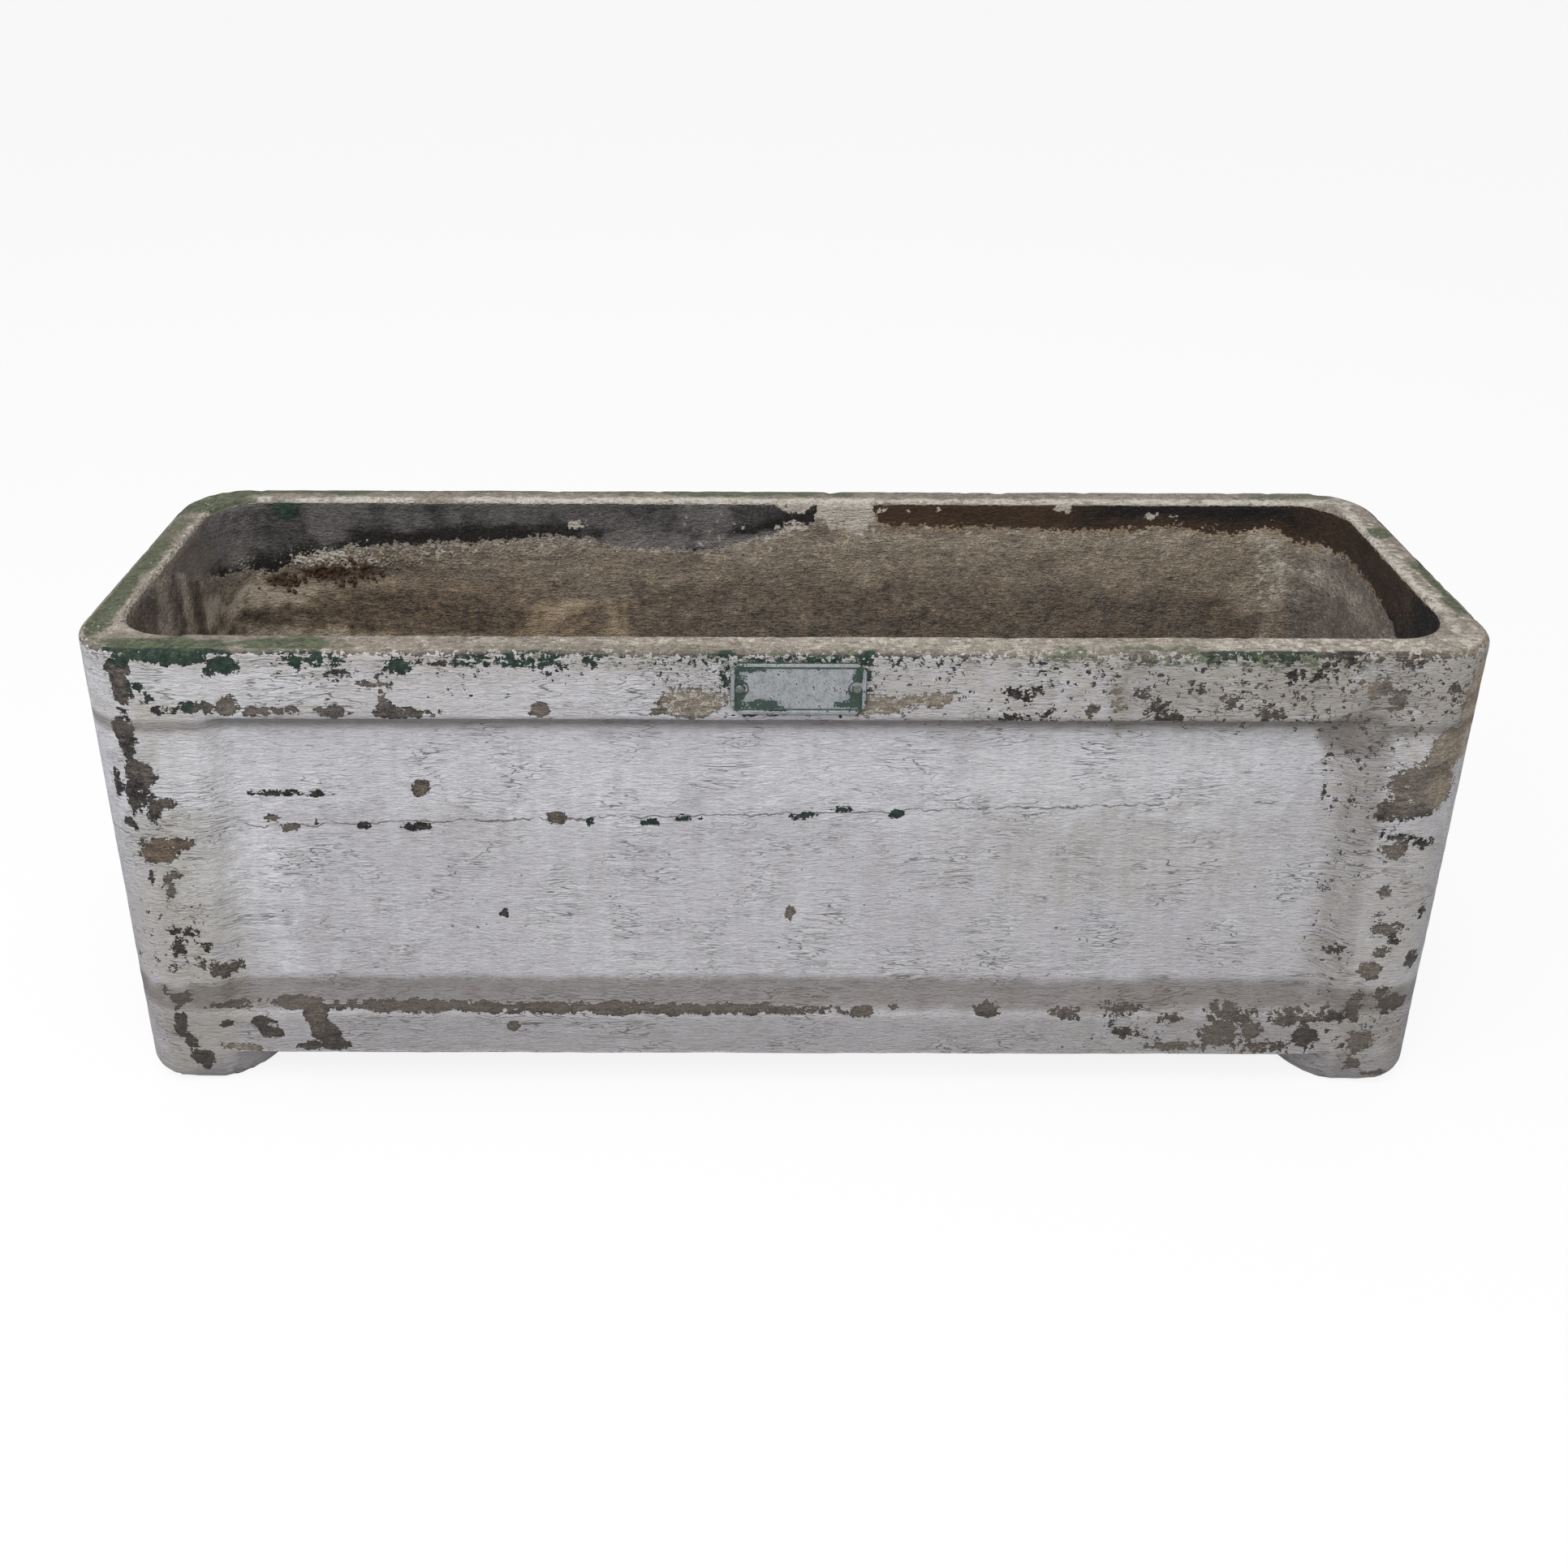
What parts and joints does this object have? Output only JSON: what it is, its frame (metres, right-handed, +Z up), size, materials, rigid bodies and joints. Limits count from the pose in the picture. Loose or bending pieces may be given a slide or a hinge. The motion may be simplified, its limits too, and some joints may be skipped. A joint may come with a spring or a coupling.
{
  "type": "concrete planter",
  "caption": "Long rectangular concrete trough planter with rounded corners, recessed side panels, low bracket feet and a small bare plate on the front.",
  "frame": {"origin": "on the ground under the middle of the trough's plan", "axes": "+X along the length, to the right as seen from the front; -Y towards the front, which carries the plate; +Z up"},
  "size_m": [0.9998, 0.3024, 0.38],
  "materials": {
    "painted_concrete": "matte",
    "painted_plate": "satin",
    "pin_metal": "satin",
    "rod_steel": "matte"
  },
  "bodies": {
    "root": {"trough_body": "painted_concrete", "nameplate": "painted_plate", "plate_pin_left": "pin_metal", "plate_pin_right": "pin_metal", "rim_rod": "rod_steel", "base_rod": "rod_steel", "corner_rod_front_left": "rod_steel", "corner_rod_front_right": "rod_steel", "corner_rod_back_right": "rod_steel", "corner_rod_back_left": "rod_steel", "stirrup_1": "rod_steel", "stirrup_2": "rod_steel", "stirrup_3": "rod_steel", "stirrup_4": "rod_steel", "floor_rod_front": "rod_steel", "floor_rod_back": "rod_steel"}
  },
  "joints": []
}
